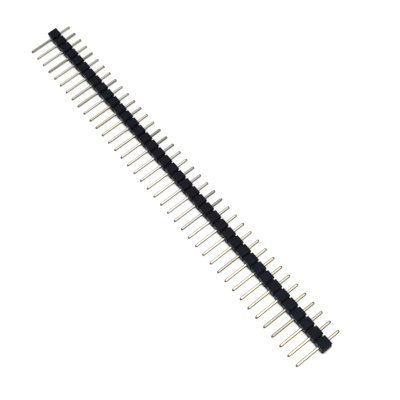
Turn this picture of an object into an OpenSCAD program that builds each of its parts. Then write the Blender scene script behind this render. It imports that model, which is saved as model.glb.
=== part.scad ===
// Single-row pin header strip: a black moulded housing of square cells that snap
// apart, with one square metal pin pressed through each cell.
// The strip lies on its side: +X along the row, +Y from the mating legs to the
// solder tails, +Z up. The origin is on the floor under the middle of the strip.
// All sizes are in millimetres.

/* [Row] */
// Number of pins, and of housing cells
pin_count = 40; // [2:1:40]
// Distance from one pin to the next
pitch = 2.54; // [2:0.01:4]

/* [Housing] */
// Depth of the housing along the pins, from its mating face to its board face
housing_depth = 2.54; // [2:0.02:5]
// Height of the housing across the row
housing_height = 2.54; // [2:0.01:4]
// Width of a snap-off groove where it opens in the flat side
groove_width = 0.74; // [0.3:0.02:0.9]
// Width of the flat at the bottom of a snap-off groove
groove_root = 0.14; // [0.06:0.02:0.26]
// Depth of a snap-off groove
groove_depth = 0.5; // [0.2:0.02:0.6]
// Width of the notch between two cells on the board face
notch_width = 0.32; // [0.2:0.02:0.6]
// Depth of the notch between two cells
notch_depth = 0.6; // [0.3:0.02:1.2]
// Chamfer on each corner of the notch's mouth
notch_chamfer = 0.04; // [0.04:0.01:0.12]
// Width of the valley between two cells on the mating face
valley_width = 0.44; // [0.2:0.02:0.8]
// Depth of the valley between two cells
valley_depth = 0.1; // [0.06:0.02:0.4]
// Thickness of the two lips that stand on the board, one on each side of the pins
lip_thickness = 0.56; // [0.3:0.02:0.8]
// Depth of the channel between the two lips
channel_depth = 0.5; // [0.2:0.05:1]
// Chamfer round the mouth of each pin hole
hole_chamfer = 0.08; // [0.02:0.02:0.12]

/* [Pins] */
// Side of the square pin
pin_side = 0.64; // [0.5:0.02:0.8]
// Length of the leg that stands out of the mating face
mating_length = 6.0; // [3:0.1:15]
// Length of the tail that stands out of the board face
tail_length = 3.0; // [2:0.1:15]
// Length of the four-sided taper at the end of a mating leg
mating_taper = 0.4; // [0.1:0.05:0.9]
// Side of the flat that ends a mating leg
mating_tip = 0.36; // [0.1:0.02:0.48]
// Length of the four-sided taper at the end of a solder tail
tail_taper = 0.25; // [0.1:0.05:0.9]
// Side of the flat that ends a solder tail
tail_tip = 0.44; // [0.1:0.02:0.48]
// Gap on each side between a pin and its hole, nothing for a pressed-in pin
pin_clearance = 0; // [0:0.01:0.05]

/* [Hidden] */
row_length = pin_count * pitch;
pin_length = mating_length + housing_depth + tail_length;
pin_z = housing_height / 2;
mating_y = mating_length - pin_length / 2;
board_y = mating_y + housing_depth;
// Bottom of the channel, where the tails come out of the housing
channel_y = board_y - channel_depth;
hole_side = pin_side + 2 * pin_clearance;
// How far a cutting solid runs past the surface that it cuts
overcut = 0.4;

function two_digits(n) = n < 10 ? str("0", n) : str(n);
function pin_name(n) = str("pin_", two_digits(n));
function pin_x(n) = (n - (pin_count + 1) / 2) * pitch;
// Middle of the joint between a cell and the next one
function joint_x(n) = pin_x(n) + pitch / 2;

// One side of the row seen along the pins: a groove with two sloping walls at each
// joint between cells. side is 1 for the top and -1 for the bottom.
function row_side(side) = [
    for (n = [1 : pin_count - 1])
        for (p = [
            [-groove_width / 2, housing_height / 2],
            [-groove_root / 2, housing_height / 2 - groove_depth],
            [groove_root / 2, housing_height / 2 - groove_depth],
            [groove_width / 2, housing_height / 2]
        ])
            [joint_x(n) + p.x, pin_z + side * p.y]
];

// One square end of the row. side is -1 for the end at pin 1, from the bottom up,
// and 1 for the other, from the top down.
function row_end(side) = [
    for (z = [1, -1])
        [side * row_length / 2, pin_z + side * z * housing_height / 2]
];

function reversed(points) = [for (i = [len(points) - 1 : -1 : 0]) points[i]];

// Outline of the whole row seen along the pins
module row_outline() {
    polygon(concat(row_end(-1), row_side(1), row_end(1), reversed(row_side(-1))));
}

// Gap between two cells, open towards +Y at the board face
module notch_outline() {
    root_y = -notch_depth;
    half = notch_width / 2;
    polygon([
        [-half, root_y],
        [half, root_y],
        [half, -notch_chamfer],
        [half + notch_chamfer, 0],
        [half + notch_chamfer, overcut],
        [-half - notch_chamfer, overcut],
        [-half - notch_chamfer, 0],
        [-half, -notch_chamfer]
    ]);
}

// V-shaped valley between two cells, open towards -Y at the mating face
module valley_outline() {
    half = valley_width / 2;
    polygon([
        [-half, -overcut],
        [half, -overcut],
        [half, 0],
        [0, valley_depth],
        [-half, 0]
    ]);
}

// A four-sided solid along Y that has the same outline from above and from the
// side, so that all its tapered faces are flat
module square_bar(size) {
    intersection() {
        linear_extrude(height = size, center = true)
            children();
        rotate([0, 90, 0])
            linear_extrude(height = size, center = true)
                children();
    }
}

// Channel along the board face, between its two lips and open at both ends
module channel() {
    height = housing_height - 2 * lip_thickness;
    translate([-row_length / 2 - overcut, channel_y, pin_z - height / 2])
        cube([row_length + 2 * overcut, channel_depth + overcut, height]);
}

// Outline of a pin hole: straight inside, chamfered at the mating face and at the
// bottom of the channel
module hole_outline() {
    half = hole_side / 2;
    mouth = half + hole_chamfer;
    polygon([
        [-mouth, mating_y - overcut],
        [mouth, mating_y - overcut],
        [mouth, mating_y],
        [half, mating_y + hole_chamfer],
        [half, channel_y - hole_chamfer],
        [mouth, channel_y],
        [mouth, channel_y + overcut],
        [-mouth, channel_y + overcut],
        [-mouth, channel_y],
        [-half, channel_y - hole_chamfer],
        [-half, mating_y + hole_chamfer],
        [-mouth, mating_y]
    ]);
}

// Outline of a pin, with a long taper on its mating leg and a blunt one on its tail
module pin_outline() {
    half = pin_side / 2;
    end_y = pin_length / 2;
    polygon([
        [-mating_tip / 2, -end_y],
        [mating_tip / 2, -end_y],
        [half, mating_taper - end_y],
        [half, end_y - tail_taper],
        [tail_tip / 2, end_y],
        [-tail_tip / 2, end_y],
        [-half, end_y - tail_taper],
        [-half, mating_taper - end_y]
    ]);
}

// The moulded row of cells, with grooves, notches and valleys to snap it at and a
// channel that keeps its board face off the solder
module housing() {
    color([0.11, 0.11, 0.13])
        difference() {
            translate([0, board_y, 0])
                rotate([90, 0, 0])
                    linear_extrude(height = housing_depth)
                        row_outline();
            for (n = [1 : pin_count - 1])
                translate([joint_x(n), board_y, -overcut])
                    linear_extrude(height = housing_height + 2 * overcut)
                        notch_outline();
            for (n = [1 : pin_count - 1])
                translate([joint_x(n), mating_y, -overcut])
                    linear_extrude(height = housing_height + 2 * overcut)
                        valley_outline();
            channel();
            for (n = [1 : pin_count])
                translate([pin_x(n), 0, pin_z])
                    square_bar(hole_side + 2 * hole_chamfer)
                        hole_outline();
        }
}

// One square pin, counted from the -X end of the row
module pin(n) {
    color([0.86, 0.82, 0.66])
        translate([pin_x(n), 0, pin_z])
            square_bar(pin_side)
                pin_outline();
}

housing();
for (n = [1 : pin_count]) pin(n);
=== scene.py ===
"""Finish, light and camera for a pin header strip that lies on a pale floor.

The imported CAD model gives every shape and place. Lengths here are in millimetres,
turned into metres by MM. +X runs along the row, +Y from the mating legs to the
solder tails, and +Z is up.
"""
import math

import bpy
from mathutils import Matrix, Vector


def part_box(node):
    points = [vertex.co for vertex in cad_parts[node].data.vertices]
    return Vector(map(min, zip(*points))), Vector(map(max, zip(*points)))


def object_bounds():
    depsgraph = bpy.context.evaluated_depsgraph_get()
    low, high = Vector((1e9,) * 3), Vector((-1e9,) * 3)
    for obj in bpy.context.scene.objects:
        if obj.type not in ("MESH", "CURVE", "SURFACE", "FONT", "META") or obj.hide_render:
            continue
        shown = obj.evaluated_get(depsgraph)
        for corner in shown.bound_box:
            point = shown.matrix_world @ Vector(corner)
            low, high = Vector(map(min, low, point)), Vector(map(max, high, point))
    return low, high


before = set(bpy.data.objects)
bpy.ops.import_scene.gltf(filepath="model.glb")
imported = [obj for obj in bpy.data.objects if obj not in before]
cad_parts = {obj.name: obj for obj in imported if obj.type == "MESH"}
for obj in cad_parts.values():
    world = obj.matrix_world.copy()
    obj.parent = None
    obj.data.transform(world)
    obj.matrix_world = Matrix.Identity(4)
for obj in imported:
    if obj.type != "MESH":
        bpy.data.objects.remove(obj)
cad_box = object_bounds()

MM = 0.001

PIN_NAMES = sorted(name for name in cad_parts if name.startswith("pin_"))


def node_centre(name):
    low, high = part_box(name)
    return (low + high) / 2


CENTRE = (cad_box[0] + cad_box[1]) / 2
FLOOR_Z = cad_box[0].z
PITCH = node_centre(PIN_NAMES[1]).x - node_centre(PIN_NAMES[0]).x
PIN_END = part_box(PIN_NAMES[0])[1].y
TAIL_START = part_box("housing")[1].y

# Camera, measured from the middle of the strip
CAMERA_PLACE = Vector((67.882, -28.236, 153.387)) * MM
CAMERA_AIM = Vector((8.488, 1.839, 0.0)) * MM
CAMERA_TURN = math.radians(52.914)
SENSOR_WIDTH = 36.0
LENS = 67.85
CLIP_START = 1.0 * MM

# Rounding of edges
PIN_EDGE = 0.14 * MM
PIN_EDGE_STEPS = 5
HOUSING_EDGE = 0.025 * MM
HOUSING_EDGE_STEPS = 2
SHARPEST_LEFT = math.radians(30)
WELD_GAP = 0.0005 * MM

# Ends of a pin
TAPER = 0.4 * MM
CUT_END = 0.03 * MM

# Middle of the stretch where the plating is paler and the plastic has less of its painted blue tint
MIDDLE = 3.0 * MM

# Where each mark of the plastic starts and where it is full: its matt finish and painted
# shade out from the middle of a joint, the painted fill light up or down from the pins,
# the painted blue tint away from MIDDLE, and the painted light falloff along the row
JOINT_FADE = (0.46 * MM, 0.22 * MM)
GROOVE_FILL_FADE = (0.65 * MM, 0.8 * MM)
PAINTED_BLUE_FADE = (26.0 * MM, 42.0 * MM)
PAINTED_FALLOFF_FADE = (-45.0 * MM, 50.0 * MM)
# How far the grain shifts the edge of the painted blue tint
PAINTED_BLUE_DRIFT = 24.0 * MM

# Where each finish of the plating starts and where it is full: the paler middle away
# from MIDDLE, the richer gold along the row, the painted dark reflection on the rounded
# edges along the row, and the duller tails along a tail
PALE_FADE = (30.0 * MM, 7.5 * MM)
RICH_FADE = (18.0 * MM, 46.0 * MM)
EDGE_SHADE_FADE = (-50.0 * MM, -12.0 * MM)
TAIL_FADE = (TAIL_START, TAIL_START + 0.5 * MM)

# Draws of the random wear and tone of the legs and of the tails
LEG_WEAR_DRAW = 0.0
TAIL_WEAR_DRAW = 100.0
LEG_TONE_DRAW = 200.0
TAIL_TONE_DRAW = 300.0

# Depth of the bumps
MOULD_GRAIN = 0.003 * MM
DRAWN_GRAIN = 0.0012 * MM

# Colours of the plastic
BLACK_WARM = (0.0106, 0.0103, 0.0248, 1)
# The plastic with a painted blue tint of the studio light, used toward both ends
BLACK_PAINTED_BLUE = (0.0084, 0.0150, 0.0298, 1)
# Painted shade on the faces beside the pins, where the cells join
JOINT_PAINTED_SHADE = (0.003, 0.004, 0.009, 1)
# Painted fill light: a lighter grey in the grooves between the cells, which lie in shade
GROOVE_PAINTED_FILL = (0.036, 0.041, 0.062, 1)

# Colours of the plating
PALE_GOLD = (0.91, 0.91, 0.82, 1)
WARM_GOLD = (0.96, 0.90, 0.62, 1)
RICH_GOLD = (0.97, 0.89, 0.52, 1)
SILVERY = (0.92, 0.93, 0.92, 1)
WORN = (0.84, 0.83, 0.74, 1)
DRAWN = (0.64, 0.61, 0.46, 1)
DULLED = (0.50, 0.495, 0.43, 1)
AGED = (0.31, 0.305, 0.27, 1)
# Painted dark reflection on the pins' rounded edges
PAINTED_EDGE_SHADE = (0.17, 0.155, 0.10, 1)
# Painted shade on the tapered tips
PAINTED_TIP_SHADE = (0.30, 0.285, 0.22, 1)
BARE_CUT = (0.55, 0.50, 0.38, 1)

FLOOR_WIDTH = 4.0
FLOOR_GREY = (0.6, 0.6, 0.6, 1)
FLOOR_GLOW = 0.85
# Reach of the painted contact shadow, a dark line at the object's foot
CONTACT = 0.7 * MM
# Where the floor's glow in reflections is dimmest and where it is full, along the row: painted shade
# toward the far end
MIRROR_FADE = (-60.0 * MM, -10.0 * MM)

# Edges of the light overhead, from dark to full: sideways for each unit of height
LIGHT_LEFT = (-1.08, -0.33)
LIGHT_RIGHT = (0.25, -0.08)
LIGHT_FRONT = (-0.8, -0.25)
LIGHT_BACK = (1.1, 0.1)
LIGHT_STRENGTH = 1.31
LIGHT_WHITE = (1.0, 0.99, 0.96, 1)
STUDIO_BLUE = (0.86, 0.92, 1.0, 1)
WHITE = (1, 1, 1, 1)


# ---------------------------------------------------------------- node helpers


class Nodes:
    """Adds shader nodes to one node tree and joins them as they are made."""

    def __init__(self, tree):
        self.tree = tree

    def add(self, kind, inputs=None, **settings):
        node = self.tree.nodes.new(kind)
        for name, value in settings.items():
            setattr(node, name, value)
        for name, value in (inputs or {}).items():
            self.put(node.inputs[name], value)
        return node

    def put(self, socket, value):
        if isinstance(value, bpy.types.NodeSocket):
            self.tree.links.new(value, socket)
        else:
            socket.default_value = value

    def math(self, operation, first, second=0.0):
        return self.add("ShaderNodeMath", {0: first, 1: second}, operation=operation).outputs[0]

    def plus(self, first, second):
        return self.math("ADD", first, second)

    def times(self, first, second):
        return self.math("MULTIPLY", first, second)

    def ramp(self, value, start, end, low=0.0, high=1.0):
        """Smooth step of a value from low at start to high at end."""
        inputs = {"Value": value, "From Min": start, "From Max": end, "To Min": low, "To Max": high}
        return self.add("ShaderNodeMapRange", inputs, interpolation_type="SMOOTHSTEP").outputs["Result"]

    def blend(self, factor, low, high):
        """Number between two numbers, by a factor from 0 to 1."""
        return self.ramp(factor, 0.0, 1.0, low, high)

    def mix(self, factor, first, second):
        """Colour between two colours."""
        node = self.add("ShaderNodeMix", data_type="RGBA")
        self.put(node.inputs[0], factor)
        self.put(node.inputs[6], first)
        self.put(node.inputs[7], second)
        return node.outputs[2]

    def scaled(self, colour, factor):
        return self.add("ShaderNodeVectorMath", {0: colour, "Scale": factor}, operation="SCALE").outputs[0]

    def split(self, vector):
        return self.add("ShaderNodeSeparateXYZ", {"Vector": vector}).outputs

    def place(self):
        """Place on the object, in metres."""
        return self.add("ShaderNodeTexCoord").outputs["Object"]

    def grain(self, vector, per_mm, detail):
        """Noise with per_mm = waves per millimetre along each axis."""
        scale = tuple(n / MM for n in per_mm)
        stretched = self.add("ShaderNodeMapping", {"Vector": vector, "Scale": scale}).outputs["Vector"]
        inputs = {"Vector": stretched, "Scale": 1.0, "Detail": detail, "Roughness": 0.55}
        return self.add("ShaderNodeTexNoise", inputs).outputs["Fac"]

    def draws(self, cell, on_tail, leg_draw, tail_draw):
        """Three random numbers from 0 to 1 for each leg, and others for each tail."""
        shift = self.times(on_tail, tail_draw - leg_draw)
        seed = self.plus(cell, self.plus(shift, leg_draw))
        noise = self.add("ShaderNodeTexWhiteNoise", {"W": seed}, noise_dimensions="1D")
        return self.split(noise.outputs["Color"])

    def from_middle(self, across):
        """Distance along the row from the stretch whose colours differ."""
        return self.math("ABSOLUTE", self.math("SUBTRACT", across, MIDDLE))

    def flatness(self):
        """1 on faces square to an axis of the object, less on rounded corners."""
        normal = self.add("ShaderNodeTexCoord").outputs["Normal"]
        parts = [self.math("ABSOLUTE", part) for part in self.split(normal)]
        return self.math("MAXIMUM", self.math("MAXIMUM", parts[0], parts[1]), parts[2])

    def bump(self, height, depth):
        inputs = {"Height": height, "Distance": depth, "Strength": 1.0}
        return self.add("ShaderNodeBump", inputs).outputs["Normal"]


def surface(name):
    """A new material with its Nodes and its Principled shader."""
    material = bpy.data.materials.new(name)
    material.use_nodes = True
    shader = material.node_tree.nodes["Principled BSDF"]
    return material, Nodes(material.node_tree), shader


# ------------------------------------------------------------------- materials


def housing_plastic():
    """Satin black moulding with a fine grain, matt where the cells join. Painted shade darkens
    the faces beside the pins where the cells join, a painted fill light lightens the grooves,
    a painted blue tint of the studio light grows toward both ends with a wavy edge, and a
    painted light falloff darkens it toward the far end."""
    material, nodes, shader = surface("housing_plastic")
    place = nodes.place()
    across, _, up = nodes.split(place)
    mottle = nodes.grain(place, (0.5, 0.9, 0.9), detail=4.0)
    grain = nodes.grain(place, (14.0, 14.0, 14.0), detail=2.0)
    painted_blue_wobble = nodes.grain(place, (0.14, 0.1, 0.1), detail=1.0)

    joint = nodes.ramp(nodes.math("PINGPONG", across, PITCH / 2), *JOINT_FADE)
    from_pins = nodes.math("ABSOLUTE", nodes.math("SUBTRACT", up, CENTRE.z))
    # Where the painted fill light lightens the grooves between the cells
    groove_fill = nodes.times(joint, nodes.ramp(from_pins, *GROOVE_FILL_FADE))

    # Painted blue tint of the studio light, growing toward both ends with a wavy edge
    drifted = nodes.plus(nodes.from_middle(across), nodes.times(painted_blue_wobble, PAINTED_BLUE_DRIFT))
    flat = nodes.mix(nodes.ramp(drifted, *PAINTED_BLUE_FADE), BLACK_WARM, BLACK_PAINTED_BLUE)
    # Painted shade on the faces beside the pins where the cells join
    dark = nodes.mix(joint, flat, JOINT_PAINTED_SHADE)
    plastic_with_painted_light = nodes.mix(groove_fill, dark, GROOVE_PAINTED_FILL)
    # Painted light falloff: the plastic darker toward the far end, lighter toward the near end
    painted_falloff = nodes.ramp(across, *PAINTED_FALLOFF_FADE, low=0.74, high=1.16)
    nodes.put(shader.inputs["Base Color"], nodes.scaled(plastic_with_painted_light, painted_falloff))

    satin = nodes.ramp(mottle, 0.2, 0.8, low=0.34, high=0.44)
    nodes.put(shader.inputs["Roughness"], nodes.plus(satin, nodes.times(joint, 0.4)))
    nodes.put(shader.inputs["Normal"], nodes.bump(grain, MOULD_GRAIN))
    shader.inputs["Specular IOR Level"].default_value = 0.15
    return material


def pin_plating():
    """Pale gold flash on drawn wire, a little different from pin to pin, with duller tails, a
    painted dark reflection on the rounded edges, painted shade on the tapered tips and
    bare cut ends."""
    material, nodes, shader = surface("pin_plating")
    place = nodes.place()
    across, along, _ = nodes.split(place)
    streaks = nodes.grain(place, (22.0, 0.6, 22.0), detail=3.0)
    patches = nodes.grain(place, (1.6, 0.7, 1.6), detail=3.0)

    cell = nodes.math("FLOOR", nodes.math("DIVIDE", across, PITCH))
    on_tail = nodes.math("GREATER_THAN", along, 0.0)
    wear = nodes.draws(cell, on_tail, LEG_WEAR_DRAW, TAIL_WEAR_DRAW)
    tone = nodes.draws(cell, on_tail, LEG_TONE_DRAW, TAIL_TONE_DRAW)

    from_centre = nodes.math("ABSOLUTE", along)
    tip = nodes.ramp(from_centre, PIN_END - TAPER * 1.1, PIN_END - TAPER * 0.9)
    cut = nodes.ramp(from_centre, PIN_END - CUT_END, PIN_END - CUT_END / 2)

    pale = nodes.ramp(nodes.from_middle(across), *PALE_FADE, high=0.6)
    rich = nodes.ramp(across, *RICH_FADE, high=0.5)
    gold = nodes.mix(tone[0], PALE_GOLD, WARM_GOLD)
    gold = nodes.mix(pale, gold, SILVERY)
    gold = nodes.mix(rich, gold, RICH_GOLD)
    worn = nodes.mix(nodes.ramp(patches, 0.45, 0.75, high=0.35), gold, WORN)
    drawn = nodes.mix(nodes.ramp(streaks, 0.35, 0.75, high=0.25), worn, DRAWN)
    dulled = nodes.mix(nodes.ramp(along, *TAIL_FADE, high=0.45), drawn, DULLED)
    age = nodes.times(nodes.ramp(wear[1], 0.45, 1.0), nodes.blend(on_tail, 0.6, 0.95))
    aged = nodes.mix(age, dulled, AGED)

    # The taper's own faces are less square, so the rounding counts from further off
    flat_until = nodes.blend(tip, 0.998, 0.93)
    round_from = nodes.blend(tip, 0.975, 0.85)
    # Painted dark reflection on the rounded edges, weaker toward the far end
    most = nodes.ramp(across, *EDGE_SHADE_FADE, low=0.5, high=0.93)
    corner = nodes.ramp(nodes.flatness(), flat_until, round_from, high=most)
    edge_shaded = nodes.mix(corner, aged, PAINTED_EDGE_SHADE)
    # Painted shade on the tapered tips, by a random amount from pin to pin
    tip_shade = nodes.times(tip, nodes.blend(tone[2], 0.4, 0.95))
    tip_shaded = nodes.mix(tip_shade, edge_shaded, PAINTED_TIP_SHADE)
    nodes.put(shader.inputs["Base Color"], nodes.mix(cut, tip_shaded, BARE_CUT))

    smooth = nodes.ramp(patches, 0.3, 0.7, low=0.13, high=0.2)
    coined = nodes.plus(smooth, nodes.times(tip, 0.08))
    nodes.put(shader.inputs["Roughness"], nodes.plus(coined, nodes.times(cut, 0.2)))
    nodes.put(shader.inputs["Normal"], nodes.bump(streaks, DRAWN_GRAIN))
    shader.inputs["Metallic"].default_value = 1.0
    return material


def floor_white():
    """Pale floor that looks white to the camera and in the metal, and keeps the object's soft
    shadow. A painted contact shadow, from ambient occlusion, darkens its glow at the
    object's foot, and painted shade darkens its glow in reflections toward the far end."""
    material, nodes, shader = surface("floor_white")
    across = nodes.split(nodes.place())[0]
    openness = nodes.add("ShaderNodeAmbientOcclusion", {"Distance": CONTACT}, samples=12).outputs["AO"]
    path = nodes.add("ShaderNodeLightPath").outputs

    # Painted contact shadow: the glow seen by the camera drops where the object is close
    direct = nodes.times(path["Is Camera Ray"], nodes.ramp(openness, 0.52, 0.72))
    # Painted contact shadow and painted shade toward the far end, in the floor's reflections
    mirrored = nodes.times(nodes.ramp(across, *MIRROR_FADE, low=0.75), nodes.math("POWER", openness, 5.0))
    mirrored = nodes.times(path["Is Glossy Ray"], mirrored)
    seen = nodes.plus(nodes.plus(direct, mirrored), path["Is Transmission Ray"])
    nodes.put(shader.inputs["Emission Strength"], nodes.times(seen, FLOOR_GLOW))

    shader.inputs["Emission Color"].default_value = WHITE
    shader.inputs["Base Color"].default_value = FLOOR_GREY
    shader.inputs["Roughness"].default_value = 0.9
    shader.inputs["Specular IOR Level"].default_value = 0.0
    return material


# --------------------------------------------------------------------- objects


def round_edges(node, width, steps):
    """Rounds a CAD node's edges with modifiers; its own mesh stays."""
    weld = node.modifiers.new("weld", "WELD")
    weld.merge_threshold = WELD_GAP
    bevel = node.modifiers.new("rounded_edges", "BEVEL")
    bevel.width = width
    bevel.segments = steps
    bevel.limit_method = "ANGLE"
    bevel.angle_limit = SHARPEST_LEFT


def finish_node(name, material, edge, steps):
    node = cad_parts[name]
    node.data.materials.clear()
    node.data.materials.append(material)
    round_edges(node, edge, steps)


def make_floor():
    bpy.ops.mesh.primitive_plane_add(size=FLOOR_WIDTH, location=(0, 0, FLOOR_Z))
    floor = bpy.context.object
    floor.name = "floor"
    floor.data.materials.append(floor_white())


def make_sky():
    """White to the camera; to the object, a wide soft light overhead that fades to
    a dim, slightly blue studio."""
    world = bpy.data.worlds.new("studio")
    bpy.context.scene.world = world
    world.use_nodes = True
    nodes = Nodes(world.node_tree)
    background = world.node_tree.nodes["Background"]
    way = nodes.split(nodes.add("ShaderNodeTexCoord").outputs["Generated"])
    height = nodes.math("MAXIMUM", way[2], 0.02)
    u = nodes.math("DIVIDE", way[0], height)
    v = nodes.math("DIVIDE", way[1], height)

    left = nodes.ramp(u, *LIGHT_LEFT)
    sideways = nodes.times(left, nodes.ramp(u, *LIGHT_RIGHT))
    lengthways = nodes.times(nodes.ramp(v, *LIGHT_FRONT), nodes.ramp(v, *LIGHT_BACK))
    light = nodes.times(nodes.times(sideways, lengthways), LIGHT_STRENGTH)

    from_back = nodes.ramp(way[1], -0.4, 0.6, low=0.02, high=0.1)
    from_left = nodes.ramp(u, -0.3, -0.9, high=0.16)
    from_walls = nodes.ramp(way[2], 0.55, 0.25, high=0.35)
    fill = nodes.plus(nodes.plus(from_back, from_left), from_walls)

    path = nodes.add("ShaderNodeLightPath").outputs
    tint = nodes.mix(left, STUDIO_BLUE, LIGHT_WHITE)
    nodes.put(background.inputs["Color"], nodes.mix(path["Is Camera Ray"], tint, WHITE))
    strength = nodes.math("MAXIMUM", nodes.plus(fill, light), path["Is Camera Ray"])
    nodes.put(background.inputs["Strength"], strength)


def make_camera():
    data = bpy.data.cameras.new("camera")
    data.sensor_width = SENSOR_WIDTH
    data.lens = LENS
    data.clip_start = CLIP_START
    camera = bpy.data.objects.new("camera", data)
    bpy.context.scene.collection.objects.link(camera)
    back = (CAMERA_PLACE - CAMERA_AIM).normalized()
    north = Vector((0, 1, 0))
    up = Matrix.Rotation(CAMERA_TURN, 3, back) @ (north - north.dot(back) * back).normalized()
    turned = Matrix((up.cross(back), up, back)).transposed().to_4x4()
    camera.matrix_world = Matrix.Translation(CENTRE + CAMERA_PLACE) @ turned
    bpy.context.scene.camera = camera


make_camera()
make_floor()
make_sky()

plastic = housing_plastic()
plating = pin_plating()
finish_node("housing", plastic, HOUSING_EDGE, HOUSING_EDGE_STEPS)
for pin_name in PIN_NAMES:
    finish_node(pin_name, plating, PIN_EDGE, PIN_EDGE_STEPS)

bpy.context.scene.view_settings.view_transform = "Standard"
